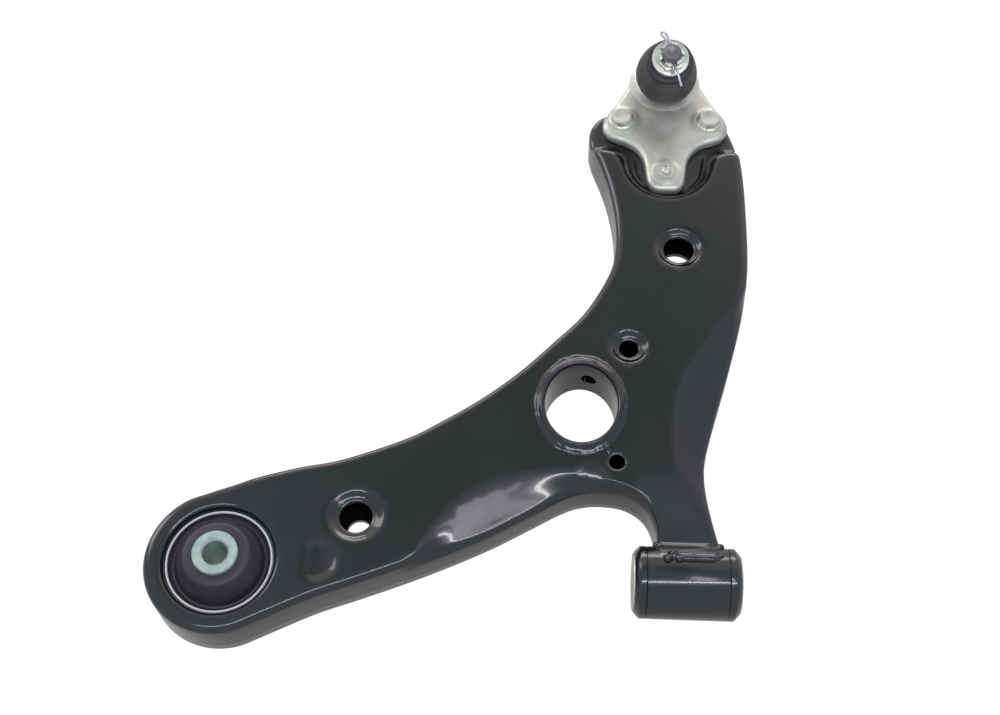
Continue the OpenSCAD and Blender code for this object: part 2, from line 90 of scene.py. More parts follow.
table_half, table_drop = 40, 0.0005
table_mesh = bpy.data.meshes.new("table_top")
table = bmesh.new()
bmesh.ops.create_grid(table, x_segments=1, y_segments=1, size=table_half)
bmesh.ops.translate(table, verts=table.verts, vec=(0, 0, cad_box[0].z - table_drop))
table.to_mesh(table_mesh)
table_top = linked(table_mesh, "table_top")
white_table = bpy.data.materials.new("white_table")
white_table.use_nodes = True
sheet_shader = white_table.node_tree.nodes["Principled BSDF"]
sheet_shader.inputs["Base Color"].default_value = (0.08, 0.08, 0.08, 1)
sheet_shader.inputs["Roughness"].default_value = 0.9
sheet_shader.inputs["Emission Color"].default_value = (1, 1, 1, 1)
ray = white_table.node_tree.nodes.new("ShaderNodeLightPath")
glow = white_table.node_tree.nodes.new("ShaderNodeMapRange")
glow.inputs["To Min"].default_value = 0.42
glow.inputs["To Max"].default_value = 1.0
white_table.node_tree.links.new(ray.outputs["Is Camera Ray"], glow.inputs["Value"])
white_table.node_tree.links.new(glow.outputs["Result"], sheet_shader.inputs["Emission Strength"])
table_mesh.materials.append(white_table)

room = bpy.data.worlds.new("pale_room")
bpy.context.scene.world = room
room.use_nodes = True
room_air = room.node_tree.nodes["Background"]
room_wire = room.node_tree.links.new


def room_fade(low, high):
    """A soft step from 0 to 1 between two values."""
    step = room.node_tree.nodes.new("ShaderNodeMapRange")
    step.interpolation_type = "SMOOTHSTEP"
    step.inputs["From Min"].default_value = low
    step.inputs["From Max"].default_value = high
    return step


def room_mix(second):
    """A mix from the near wall's colour, or what is wired in for it, to a second one."""
    mix = room.node_tree.nodes.new("ShaderNodeMix")
    mix.data_type = "RGBA"
    mix.inputs["A"].default_value = (0.60, 0.66, 0.80, 1)
    mix.inputs["B"].default_value = (*second, 1)
    return mix


gaze = room.node_tree.nodes.new("ShaderNodeTexCoord")
split = room.node_tree.nodes.new("ShaderNodeSeparateXYZ")
towards = room.node_tree.nodes.new("ShaderNodeVectorMath")
towards.operation = "DOT_PRODUCT"
towards.inputs[1].default_value = Vector((0, 0.45, 0.89)).normalized()
dark_patch = room_fade(cos(radians(15)), cos(radians(5)))
far_wall = room_fade(0.36, 0.62)
wall_tint = room_mix((0.98, 0.88, 0.92))
walls_mix = room_mix((0.34, 0.44, 0.41))
room_wire(gaze.outputs["Generated"], split.inputs["Vector"])
room_wire(split.outputs["Y"], far_wall.inputs["Value"])
room_wire(far_wall.outputs["Result"], wall_tint.inputs["Factor"])
room_wire(wall_tint.outputs["Result"], walls_mix.inputs["A"])
room_wire(gaze.outputs["Generated"], towards.inputs[0])
room_wire(towards.outputs["Value"], dark_patch.inputs["Value"])
room_wire(dark_patch.outputs["Result"], walls_mix.inputs["Factor"])
room_wire(walls_mix.outputs["Result"], room_air.inputs["Color"])
room_air.inputs["Strength"].default_value = 1.0
bpy.context.scene.view_settings.view_transform = "Standard"


def soft_box(name, place, aim, width, depth, watts, tint=(1, 1, 1)):
    light = bpy.data.lights.new(name, "AREA")
    light.shape = "RECTANGLE"
    light.size, light.size_y = width, depth
    light.energy = watts
    light.color = tint
    box = bpy.data.objects.new(name, light)
    bpy.context.scene.collection.objects.link(box)
    box.location = place
    box.rotation_mode = "QUATERNION"
    box.rotation_quaternion = (Vector(aim) - Vector(place)).to_track_quat("-Z", "Y")


soft_box("overhead_box", (0.37, -0.1, 1.5), (-0.1, 0.05, 0), 0.28, 0.42, 1.4, (0.94, 0.9, 1))
soft_box("strip_lamp", (0.05, -0.42, 1.45), (0, 0, 0), 1.7, 0.06, 7)
soft_box("far_box", (-1.4, 0.9, 0.8), (-0.1, 0.15, 0), 0.5, 1.2, 5)
soft_box("window_box", (-0.1, 1.8, 0.5), (-0.05, 0.1, 0), 1.8, 0.4, 8, (0.94, 0.92, 1))


# ---- Upper shell --------------------------------------------------------
# The main pressing, 3 mm steel drawn over a former and dipped in black paint.
# Its edge is rounded, a crease runs round the inner bend, and each hole sits in
# its own dimple; the far end has a pocket for the ball joint's plate.

# Paint, plating and rubber all vary a little over a surface; this group gives that
# variation as one mask from 0 to 1.
mottle = bpy.data.node_groups.new("mottle", "ShaderNodeTree")
cloud_scale = mottle.interface.new_socket("Scale", in_out="INPUT", socket_type="NodeSocketFloat")
cloud_scale.default_value = 40
mottle.interface.new_socket("Mask", in_out="OUTPUT", socket_type="NodeSocketFloat")
group_in, group_out = mottle.nodes.new("NodeGroupInput"), mottle.nodes.new("NodeGroupOutput")
place, cloudy = mottle.nodes.new("ShaderNodeTexCoord"), mottle.nodes.new("ShaderNodeTexNoise")
cloudy.inputs["Detail"].default_value = 6
cloudy.inputs["Roughness"].default_value = 0.62
spread = mottle.nodes.new("ShaderNodeMapRange")
spread.inputs["From Min"].default_value = 0.32
spread.inputs["From Max"].default_value = 0.68
mottle.links.new(place.outputs["Object"], cloudy.inputs["Vector"])
mottle.links.new(group_in.outputs["Scale"], cloudy.inputs["Scale"])
mottle.links.new(cloudy.outputs["Fac"], spread.inputs["Value"])
mottle.links.new(spread.outputs["Result"], group_out.inputs["Mask"])


def finish(name, dark, light, rough, scale, metallic=0.0, bump=0.0, bump_scale=400.0,
           coat=0.0, coat_rough=0.03):
    """A finish whose colour and roughness both follow the mottle mask."""
    material = bpy.data.materials.new(name)
    material.use_nodes = True
    tree = material.node_tree
    shader = tree.nodes["Principled BSDF"]
    shader.inputs["Metallic"].default_value = metallic
    shader.inputs["IOR"].default_value = 1.5
    shader.inputs["Coat Weight"].default_value = coat
    shader.inputs["Coat Roughness"].default_value = coat_rough
    clouds = tree.nodes.new("ShaderNodeGroup")
    clouds.node_tree = mottle
    clouds.inputs["Scale"].default_value = scale
    tint = tree.nodes.new("ShaderNodeMix")
    tint.data_type = "RGBA"
    tint.inputs["A"].default_value = (*dark, 1)
    tint.inputs["B"].default_value = (*light, 1)
    tree.links.new(clouds.outputs["Mask"], tint.inputs["Factor"])
    tree.links.new(tint.outputs["Result"], shader.inputs["Base Color"])
    sheen = tree.nodes.new("ShaderNodeMapRange")
    sheen.inputs["To Min"].default_value = rough[0]
    sheen.inputs["To Max"].default_value = rough[1]
    tree.links.new(clouds.outputs["Mask"], sheen.inputs["Value"])
    tree.links.new(sheen.outputs["Result"], shader.inputs["Roughness"])
    if bump:
        grain = tree.nodes.new("ShaderNodeGroup")
        grain.node_tree = mottle
        grain.inputs["Scale"].default_value = bump_scale
        relief = tree.nodes.new("ShaderNodeBump")
        relief.inputs["Strength"].default_value = bump
        relief.inputs["Distance"].default_value = 0.0002
        tree.links.new(grain.outputs["Mask"], relief.inputs["Height"])
        tree.links.new(relief.outputs["Normal"], shader.inputs["Normal"])
    return material


def piece(name, shape, material, body, nodes=(), crease=32):
    """Makes a bmesh one finished piece: doubles merged, faces outward, edges
    sharper than the crease angle kept sharp."""
    bmesh.ops.remove_doubles(shape, verts=shape.verts, dist=0.000002)
    bmesh.ops.recalc_face_normals(shape, faces=shape.faces)
    for face in shape.faces:
        face.smooth = True
    for edge in shape.edges:
        edge.smooth = edge.calc_face_angle(0) < radians(crease)
    mesh = bpy.data.meshes.new(name)
    shape.to_mesh(mesh)
    shape.free()
    mesh.materials.append(material)
    thing = linked(mesh, name)
    if nodes:
        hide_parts(*nodes)
    if body:
        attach(thing, body)
    return thing


black_paint = finish("black_paint", (0.0035, 0.0045, 0.0043), (0.006, 0.0075, 0.0072),
                     (0.16, 0.22), 18, bump=0.02, bump_scale=260, coat=0.55,
                     coat_rough=0.07)

top_z, rim_z, sheet = 14.5, 14.5, 3.0  # reach above and below the middle, and the wall
rear = Vector((-259, 0))
tube = Vector((-60, 102.5))
bolt_row = Vector((-8.5, 311.5))
edge_round, flat_from = 4.5, 5.2  # radius of the edge, and where the top face begins
bend_drop, neck_drop, saddle_drop, pocket_drop, crescent_drop = 6.8, 4.8, 5.2, 6.5, 1.3


def group_at(points, start):
    return [start + Vector(p) for p in points]


outline = (
    group_at([(0, -12), (-13, -7), (-17, 5), (-16.6, 18), (-17.4, 30), (-23, 41.5)], Vector((0, 0)))
    + group_at([(26.5, -54), (14, -52), (2, -53), (-10, -57.5), (-32, -70.5), (-54, -83)], tube)
    + group_at([(111, 3.3), (77, -10.7), (54, -19.7), (33, -30)], rear)
    + [rear + 42 * Vector((cos(radians(a)), sin(radians(a)))) for a in range(304, 103, -20)]
    + group_at([(4, 46.4), (16, 51.4), (39, 58.3), (63, 64.1), (98, 78.3)], rear)
    + group_at([(-79, -10.9), (-57.5, 4.2), (-37, 21.9), (-18, 41.9), (1, 63.6)], tube)
    + group_at([(-36, -118), (-31.8, -99), (-32.1, -76.5), (-36, -53.5), (-41, -36.5),
                (-46.5, -21), (-48.8, -9), (-46.8, 1), (-40, 8.7), (-28, 12), (0, 10.5),
                (28, 12), (37, 7.5), (43.5, -7), (47.5, -23.5), (49.5, -46), (50.1, -76.5),
                (49.7, -106), (47.1, -131)], bolt_row)
    + group_at([(94.5, 56.5), (87, 26.8), (79, -1.5)], tube)
    + group_at([(12.2, 74), (11.1, 59.6), (12.6, 46), (15.5, 32), (18.5, 19), (18.5, 5),
                (13.5, -7)], Vector((0, 0))))


def smooth_loop(points, steps):
    """A smooth closed curve through the points."""
    out = []
    for i in range(len(points)):
        a, b, c, d = (points[(i + k) % len(points)] for k in (-1, 0, 1, 2))
        for k in range(steps):
            t = k / steps
            out.append(0.5 * (2 * b + (c - a) * t + (2 * a - 5 * b + 4 * c - d) * t * t
                              + (3 * b - a - 3 * c + d) * t * t * t))
    return out


def moved_in(loop, by):
    """The loop moved inwards by a distance, square to itself at each point."""
    out = []
    for i, p in enumerate(loop):
        run = (loop[(i + 1) % len(loop)] - loop[i - 1]).normalized()
        out.append(p + by * Vector((run.y, -run.x)))
    return out


def ring_in(shape, loop, z):
    """A closed ring of edges through the loop, at one height, in millimetres."""
    dots = [shape.verts.new((p.x * mm, p.y * mm, z * mm)) for p in loop]
    return [shape.edges.new((dots[i - 1], dots[i])) for i in range(len(dots))]


def oval(centre, half_width, half_length, sides=72):
    return [centre + Vector((half_width * cos(2 * pi * i / sides),
                             half_length * sin(2 * pi * i / sides))) for i in range(sides)]


def drawn(shape, steps):
    """A skin through closed loops of points, each at its height: the first loop's
    ring of edges is drawn out to each next one. Gives back the first and last rings."""
    loop, z = steps[0]
    ring = first = ring_in(shape, loop, z)
    for wider, height in steps[1:]:
        came_from = kdtree.KDTree(len(loop))
        for i, p in enumerate(loop):
            came_from.insert((p.x * mm, p.y * mm, 0), i)
        came_from.balance()
        new = bmesh.ops.extrude_edge_only(shape, edges=ring)["geom"]
        dots = {v for v in new if isinstance(v, bmesh.types.BMVert)}
        ring = [e for e in new if isinstance(e, bmesh.types.BMEdge)
                and e.verts[0] in dots and e.verts[1] in dots]
        for dot in dots:
            spot = wider[came_from.find((dot.co.x, dot.co.y, 0))[1]]
            dot.co = (spot.x * mm, spot.y * mm, height * mm)
        loop = wider
    return first, ring


def to_line(p, line):
    """Distance from a point to a line of points."""
    best = 1e9
    for a, b in zip(line, line[1:]):
        run = b - a
        t = max(0.0, min(1.0, (p - a).dot(run) / run.length_squared))
        best = min(best, (p - a - t * run).length_squared)
    return sqrt(best)


def inside(p, loop):
    hit = False
    for i in range(len(loop)):
        a, b = loop[i - 1], loop[i]
        if (a.y > p.y) != (b.y > p.y) and p.x < a.x + (p.y - a.y) * (b.x - a.x) / (b.y - a.y):
            hit = not hit
    return hit


def ease(t):
    """A soft step from 0 to 1."""
    t = max(0.0, min(1.0, t))
    return t * t * (3 - 2 * t)


bend_crease = [Vector(p) for p in (
    (-158, -12), (-151, 6), (-143, 22), (-134, 37), (-122, 48.1), (-107, 54.8), (-94, 58.3),
    (-80, 60.4), (-68.6, 60.8), (-57, 59.6), (-48.7, 56.8), (-37, 53.5), (-26, 48.3),
    (-20.6, 44.2), (-16.7, 37.7), (-14.6, 28.7), (-14, 12))]
bend_side = bend_crease + [Vector((-20, -60)), Vector((-160, -60))]
neck_crease = [Vector(p) for p in (
    (48, 203), (36, 181), (31.7, 172.6), (22.3, 159), (9.9, 142.8), (0.8, 129), (-5, 112),
    (-8, 92), (-7, 72), (-3, 52), (0, 34), (0, 10))]
neck_side = neck_crease + [Vector((80, 10)), Vector((80, 210))]
pocket_centre = bolt_row - Vector((-1.6, 32))
rough_outline = outline + outline[:1]


def pressed_down(p):
    """How far the press has taken the top face down at a point."""
    bend = neck = 0.0
    if inside(p, bend_side):
        d, e = to_line(p, bend_crease), to_line(p, rough_outline)
        t = d / (d + e + 0.001)
        bend = bend_drop * (0.45 * t + 0.55 * ease(t))
    if inside(p, neck_side):
        d, e = to_line(p, neck_crease), to_line(p, rough_outline)
        t = d / (d + e + 0.001)
        neck = neck_drop * (0.3 * t + 0.7 * ease(t))
    saddle = saddle_drop * ease((66 - p.y) / 50) * ease((30 - abs(p.x)) / 10)
    low = (bend ** 3 + neck ** 3 + saddle ** 3) ** (1 / 3)
    round_tab = (p - pocket_centre).length - 27
    across = bolt_row.y - 23.5 - p.y
    blend = 16.0
    h = max(0.0, min(1.0, 0.5 + 0.5 * (across - round_tab) / blend))
    edge = across * (1 - h) + round_tab * h - blend * h * (1 - h)
    pocket = pocket_drop * ease((2.0 - edge) / 8.0)
    pad = (p - Vector((-205, 1.5))).length
    crescent = crescent_drop * ease((12.5 - pad) / 3.0) * ease((p.x + 214) / 10)
    return low + pocket + crescent


def dimple(shape, centre, outer, inner, depth, sides=48):
    """A round dimple with a hole in its floor; gives back its outer ring."""
    steps = [(outer, 0)]
    for k in range(1, 7):
        steps.append((outer + (inner + 1.6 - outer) * k / 6, depth * ease(k / 6)))
    steps += [(inner + 0.5, depth + 0.3), (inner, depth + 1.2)]
    return drawn(shape, [(oval(centre, r, r, sides), top_z - low) for r, low in steps])[0]


rear_hole = rear + Vector((73.8, 28.5))
ball_hole = bolt_row + Vector((7.3, -98))
locating_hole = tube + Vector((28, 40))
drain_hole = tube + Vector((21, -36))
pressing = bmesh.new()
arm_loop = smooth_loop(outline, 8)
bands = [(0, -rim_z), (0, -8), (0, 0), (0, top_z - edge_round)]
bands += [(edge_round * (1 - cos(radians(a))), top_z - edge_round * (1 - sin(radians(a))))
          for a in range(12, 91, 13)]
bands.append((flat_from, top_z))
top_ring = drawn(pressing, [(moved_in(arm_loop, by), z) for by, z in bands])[1]
hole_rings = [
    dimple(pressing, rear_hole, 16.8, 9, 2.6),
    dimple(pressing, ball_hole, 14.8, 9, 2.4),
    dimple(pressing, locating_hole, 12.2, 5.4, 3.0),
    dimple(pressing, drain_hole, 6.4, 4.2, 0.1)]
seat = [(34.2, 0), (33.4, 0.05), (32.3, 0.5), (31.3, 1.3), (30.5, 2.6), (30.2, 4.2), (30.2, 9)]
seat_ring = drawn(pressing, [(oval(rear, r, r, 96), top_z - low) for r, low in seat])[0]
mouth = [(30.5, 37.5, 0), (27, 33, 0), (24.2, 28.2, 0), (24.2, 28.2, 3)]
mouth_ring = drawn(pressing, [(oval(tube, a, b), top_z - low) for a, b, low in mouth])[0]


def filled(shape, rim, holes, cell):
    """Fills the space between a rim and its holes with an even mesh: a grid in
    the middle, and a strip of triangles from the grid to each ring."""
    rim_line = [Vector(v.co.xy) for e in rim for v in e.verts[:1]]
    keep_off = []
    for ring in holes:
        dots = [Vector(v.co.xy) for e in ring for v in e.verts[:1]]
        low = Vector((min(d.x for d in dots), min(d.y for d in dots)))
        high = Vector((max(d.x for d in dots), max(d.y for d in dots)))
        keep_off.append(((low + high) / 2, (high - low) / 2))
    low = Vector((min(d.x for d in rim_line), min(d.y for d in rim_line)))
    high = Vector((max(d.x for d in rim_line), max(d.y for d in rim_line)))
    before = set(shape.verts)
    wide, long = (int(d / cell / mm) for d in high - low)
    bmesh.ops.create_grid(shape, x_segments=wide, y_segments=long, size=0.5)
    grid = [v for v in shape.verts if v not in before]
    level = rim[0].verts[0].co.z
    for v in grid:
        v.co = (low.x + (v.co.x + 0.5) * (high.x - low.x),
                low.y + (v.co.y + 0.5) * (high.y - low.y), level)
    clear = 0.7 * cell * mm
    walls = [(rim_line[i - 1], rim_line[i]) for i in range(len(rim_line))]
    near_rim = {}
    for p in rim_line:
        home = (round(p.x / clear / 2), round(p.y / clear / 2))
        for i in (-1, 0, 1):
            for j in (-1, 0, 1):
                near_rim.setdefault((home[0] + i, home[1] + j), []).append(p)
    rows = {}
    for v in grid:
        rows.setdefault(round(v.co.y, 7), []).append(v)
    lost = set()
    for y, row in rows.items():
        hits = sorted(a.x + (y - a.y) * (b.x - a.x) / (b.y - a.y)
                      for a, b in walls if (a.y > y) != (b.y > y))
        for v in row:
            p = Vector(v.co.xy)
            within = sum(1 for x in hits if x < p.x) % 2
            home = (round(p.x / clear / 2), round(p.y / clear / 2))
            close = any((p - q).length < clear for q in near_rim.get(home, ()))
            in_hole = any(((p.x - c.x) / (h.x + clear * 1.2)) ** 2
                          + ((p.y - c.y) / (h.y + clear * 1.2)) ** 2 < 1 for c, h in keep_off)
            if not within or close or in_hole:
                lost.add(v)
    bmesh.ops.delete(shape, geom=list(lost), context="VERTS")
    grid = [v for v in grid if v.is_valid]
    while True:
        loose = [v for v in grid if not v.link_faces
                 or sum(1 for e in v.link_edges if len(e.link_faces) < 2) > 2]
        if not loose:
            break
        bmesh.ops.delete(shape, geom=loose, context="VERTS")
        grid = [v for v in grid if v.is_valid]
    grid = set(grid)
    ragged = [e for e in shape.edges if len(e.link_faces) == 1 and e.verts[0] in grid
              and e.verts[1] in grid]
    bmesh.ops.triangle_fill(shape, use_beauty=True, use_dissolve=False, normal=(0, 0, 1),
                            edges=rim + ragged + [e for ring in holes for e in ring])


filled(pressing, top_ring, hole_rings + [seat_ring, mouth_ring], 2.2)
for dot in pressing.verts:
    down = pressed_down(Vector((dot.co.x / mm, dot.co.y / mm)))
    dot.co.z -= down * mm * (dot.co.z / mm + rim_z) / (top_z + rim_z)
upper_shell = piece("upper_shell_pressing", pressing, black_paint, "arm",
                    ("upper_shell",), crease=50)


def thickened(thing, wall):
    """Gives a skin its sheet thickness, inwards; cut_by then makes it a finished mesh."""
    solid = thing.modifiers.new("sheet", "SOLIDIFY")
    solid.thickness = wall * mm
    solid.offset = -1


def cut_by(thing, shape):
    """Takes a shape away from a piece, as a finished mesh."""
    bmesh.ops.recalc_face_normals(shape, faces=shape.faces)
    mesh = bpy.data.meshes.new("cutter")
    shape.to_mesh(mesh)
    shape.free()
    cutter = linked(mesh, "cutter")
    cut = thing.modifiers.new("cut", "BOOLEAN")
    cut.operation = "DIFFERENCE"
    cut.solver = "MANIFOLD"
    cut.object = cutter
    bpy.context.view_layer.update()
    as_made = thing.evaluated_get(bpy.context.evaluated_depsgraph_get())
    done = bpy.data.meshes.new_from_object(as_made)
    thing.modifiers.clear()
    thing.data = done
    bpy.data.objects.remove(cutter)


housing_r, housing_half = 20, 22.5


def housing_space():
    """The round space that the front bush's housing fills."""
    space = bmesh.new()
    r, long = (housing_r + 0.1) * mm, 90 * mm
    bmesh.ops.create_cone(space, cap_ends=True, segments=96, radius1=r, radius2=r, depth=long)
    bmesh.ops.rotate(space, verts=space.verts, matrix=Matrix.Rotation(pi / 2, 3, "Y"))
    return space


thickened(upper_shell, sheet)
cut_by(upper_shell, housing_space())


# ---- Lower shell, seam weld and tube weld -------------------------------
# A shallow tray of the same sheet, nested in the upper shell and closed with one
# bead of weld all round, then dipped with it. The tube is welded in the same way.
weld_paint = finish("weld_paint", (0.004, 0.005, 0.005), (0.009, 0.01, 0.01),
                    (0.12, 0.26), 120, bump=0.25, bump_scale=420, coat=0.5)


def painted(node, material):
    """Gives a CAD node that stays as it is its real finish."""
    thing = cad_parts[node]
    thing.data.materials.clear()
    thing.data.materials.append(material)
    for polygon in thing.data.polygons:
        polygon.material_index = 0


painted("lower_shell", black_paint)
painted("shell_seam_weld", weld_paint)
painted("centre_tube_weld", weld_paint)

# ---- Centre tube --------------------------------------------------------
# An oval steel tube through both shells. Its mouth is rolled over and stands
# 3.5 mm proud, on a fillet of weld that is a little uneven, and a drain hole
# goes through its far wall. This fillet covers the plain weld of the CAD model.
tube_half = (21, 25)
weld_starts = 1.16  # where the weld begins, as a share of the tube's own oval
mouth_steps = [(0, -14.5), (0, -7.3), (0, 7.1), (0, 14.8), (0.35, 16.6), (1.0, 17.6),
               (1.9, 18.0), (2.7, 17.7), (3.2, 16.9), (3.6, 16.0), (4.3, 15.5), (5.2, 15.3),
               (6.0, 15.0), (6.5, 14.4), (6.3, 13.8), (3, 13.6), (3, 7.1), (3, -7.3),
               (3, -14.5), (0, -14.5)]
mouth_skin = bmesh.new()
drawn(mouth_skin, [(oval(tube, tube_half[0] + out, tube_half[1] + out * (1.3 if out > 3.4 else 1),
                         144), z) for out, z in mouth_steps])
bmesh.ops.remove_doubles(mouth_skin, verts=mouth_skin.verts, dist=0.00001)
for dot in mouth_skin.verts:
    off = hypot((dot.co.x / mm - tube.x) / tube_half[0], (dot.co.y / mm - tube.y) / tube_half[1])
    if dot.co.z > 13.7 * mm and off > weld_starts:
        lumps = noise.noise(dot.co * 190) + 0.5 * noise.noise(dot.co * 420)
        reach = ease((off - weld_starts) / 0.06)
        dot.co.z += 0.3 * lumps * reach * mm
        away = Vector((dot.co.x / mm - tube.x, dot.co.y / mm - tube.y, 0)).normalized()
        dot.co += away * lumps * 0.35 * reach * mm
centre_tube = piece("centre_tube_rolled", mouth_skin, black_paint, "arm",
                    ("centre_tube",), crease=60)


def set_at(shape, matrix):
    """Puts a shape in its place."""
    bmesh.ops.transform(shape, matrix=matrix, verts=shape.verts)
    return shape


drain = bmesh.new()
bmesh.ops.create_cone(drain, cap_ends=True, segments=40, radius1=4.5 * mm, radius2=4.5 * mm,
                      depth=16 * mm)
set_at(drain, Matrix.Translation(Vector((tube.x + 4.5, tube.y + 25, 0)) * mm)
       @ Matrix.Rotation(pi / 2, 4, "X") @ Matrix.Rotation(radians(3), 4, "Z"))
cut_by(centre_tube, drain)

# ---- Front bush: housing, weld, rubber and sleeve -----------------------
# A steel tube across the end of the neck. The rubber bush pressed into it has a
# flange at each end, which took the arm's black paint when the arm was dipped, and
# its plated sleeve is clamped by a bolt.
ring_steel = finish("ring_steel", (0.74, 0.75, 0.72), (0.84, 0.85, 0.82), (0.3, 0.4), 90,
                    metallic=0.5)
zinc_plate = finish("zinc_plate", (0.52, 0.52, 0.43), (0.69, 0.685, 0.58), (0.34, 0.46), 55,
                    metallic=0.7, bump=0.1, bump_scale=600)


def softened(shape, by, segments=2, angle=30):
    """Takes the sharpness off every edge above the angle."""
    bmesh.ops.recalc_face_normals(shape, faces=shape.faces)
    sharp = [e for e in shape.edges
             if len(e.link_faces) == 2 and e.calc_face_angle(0) > radians(angle)]
    bmesh.ops.bevel(shape, geom=sharp, offset=by * mm, offset_type="OFFSET", segments=segments,
                    profile=0.5, affect="EDGES", material=-1, clamp_overlap=True)
    return shape


def turned(profile, sides=64):
    """A ring turned about Z from a closed profile of radius and height, in mm."""
    shape = bmesh.new()
    dots = [shape.verts.new((r * mm, 0, h * mm)) for r, h in profile]
    edges = [shape.edges.new((dots[i - 1], dots[i])) for i in range(len(dots))]
    bmesh.ops.spin(shape, geom=dots + edges, cent=(0, 0, 0), axis=(0, 0, 1),
                   angle=2 * pi, steps=sides, use_merge=True)
    bmesh.ops.remove_doubles(shape, verts=shape.verts, dist=0.000002)
    flat = [e for e in shape.edges if not e.link_faces]
    bmesh.ops.delete(shape, geom=flat, context="EDGES")
    bmesh.ops.recalc_face_normals(shape, faces=shape.faces)
    return shape


across = Matrix.Rotation(pi / 2, 4, "Y")
housing = turned([(17, -housing_half), (housing_r, -housing_half), (housing_r, housing_half),
                  (17, housing_half)], 96)
softened(housing, 0.5)
piece("front_housing", set_at(housing, across), black_paint, "arm",
      ("front_bush_housing",))
painted("front_bush_outer_shell", ring_steel)


def both_ends(half):
    """A closed profile from its upper half."""
    return half + [(r, -h) for r, h in reversed(half)]


rubber_half = [(15.7, 22.62), (19.7, 22.62), (20, 22.9), (20, 25.9), (19.85, 26.2),
               (16.9, 29.0), (16.6, 29.1), (16.4, 28.9), (11.05, 26.2)]
rubber = turned(both_ends(rubber_half), 96)
piece("front_rubber", set_at(rubber, across), black_paint, "arm",
      ("front_bush_rubber",))
sleeve_half = [(11, 26.2), (16.2, 28.6), (16.3, 29.1), (16.0, 29.7), (7.7, 29.7), (7.1, 29.1)]
sleeve = turned(both_ends(sleeve_half), 96)
piece("front_sleeve_upset", set_at(sleeve, across), zinc_plate, "front_sleeve",
      ("front_bush_inner_sleeve",))

# The neck is welded to the housing by hand: a bead of overlapping lumps along
# its top and bottom edges and down both sides.
bead = bmesh.new()
bead_left, bead_right, bead_length, neck_foot = -16.4, 18.6, 34, 14


def lump(x, y, z, radius):
    """One drop of weld."""
    made = bmesh.ops.create_icosphere(bead, subdivisions=2, radius=radius * mm)["verts"]
    bmesh.ops.translate(bead, verts=made, vec=(x * mm, y * mm, z * mm))


def bead_row(x0, x1, spot, radius, seed, count=24, rough=0.5):
    """A run of overlapping lumps; spot gives the height of the middle along the run."""
    for i in range(count):
        t = i / (count - 1)
        z = spot(t)
        swell = rough * noise.noise(Vector((t * 9, seed, 1.3)))
        lump(x0 + (x1 - x0) * t, sqrt(housing_r ** 2 - z * z) + 0.35 + swell * 0.5, z + 0.3,
             radius + swell)


neck_top = top_z - saddle_drop
fillet = [(21, 7.0), (21, 9.0), (19.4, 9.9), (17.6, 11.6), (15, 14.1), (11.6, 16.6), (8, 18.5),
          (5.2, 19.4), (5.2, 18.0), (12, 14.5), (17.2, 8)]
start = [bead.verts.new((bead_left * mm, y * mm, z * mm)) for y, z in fillet]
section = bmesh.ops.contextual_create(bead, geom=start)["faces"]
for step in range(bead_length):
    grown = bmesh.ops.extrude_face_region(bead, geom=section)["geom"]
    section = [g for g in grown if isinstance(g, bmesh.types.BMFace)]
    dots = [g for g in grown if isinstance(g, bmesh.types.BMVert)]
    bmesh.ops.translate(bead, verts=dots, vec=(mm, 0, 0))
bmesh.ops.recalc_face_normals(bead, faces=bead.faces)
bead_row(-16.5, 16.0, lambda t: -14.2, 2.0, 3.0)
bead_row(-13.2, -3.6, lambda t: 18.4 + 0.7 * sin(9 * t), 1.5, 5.0, 7, 1.6)
bead_row(-1.2, 13.0, lambda t: 18.7, 1.9, 11.0, 12, 0.7)
bead_row(15.2, 18.0, lambda t: 18.3 - t, 1.5, 2.0, 3, 0.6)
for side, radius, seed in ((bead_left - 0.5, 2.1, 4.2), (bead_right, 2.5, 8.2)):
    bead_row(side, side, lambda t: neck_top - (neck_top + neck_foot) * t, radius, seed, 16)
housing_weld = piece("front_housing_bead", bead, black_paint, "arm",
                     ("front_housing_weld",))
melt = housing_weld.modifiers.new("melt", "REMESH")
melt.mode = "VOXEL"
melt.voxel_size = 0.0006
melt.use_smooth_shade = True
settle = housing_weld.modifiers.new("settle", "SMOOTH")
settle.factor, settle.iterations = 0.5, 6

# ---- Rear bush: outer shell, rubber and sleeve --------------------------
# The large upright bush. Its steel ring is pressed into the shells' collar, the
# rubber is bonded in and rises as a cone to the plated sleeve in the middle.
bush_rubber = finish("bush_rubber", (0.020, 0.020, 0.023), (0.032, 0.031, 0.035),
                     (0.36, 0.5), 70, bump=0.06, bump_scale=520)
sleeve_plate = finish("sleeve_plate", (0.31, 0.43, 0.37), (0.49, 0.59, 0.52), (0.34, 0.46), 220,
                      metallic=0.5, bump=0.15, bump_scale=900)
at_rear = Matrix.Translation((rear.x * mm, 0, 0))
shell_bore, sleeve_r = 28.55, 12.65
ring_half = [(28.6, 10.6), (29.0, 11.0), (29.6, 11.0), (30.0, 10.6)]
ring = turned(both_ends(ring_half), 128)
piece("rear_bush_ring", set_at(ring, at_rear), ring_steel, "arm",
      ("rear_bush_outer_shell",))
cone = [(shell_bore, 10.0), (28.2, 9.2), (27.4, 8.0), (26.4, 7.5), (25.4, 7.7), (24.8, 8.6),
        (24.4, 10.2), (23.4, 12.4), (21.6, 15.2), (19.9, 18.0), (18.9, 20.2), (18.3, 21.0),
        (17.4, 21.4), (sleeve_r, 21.4)]
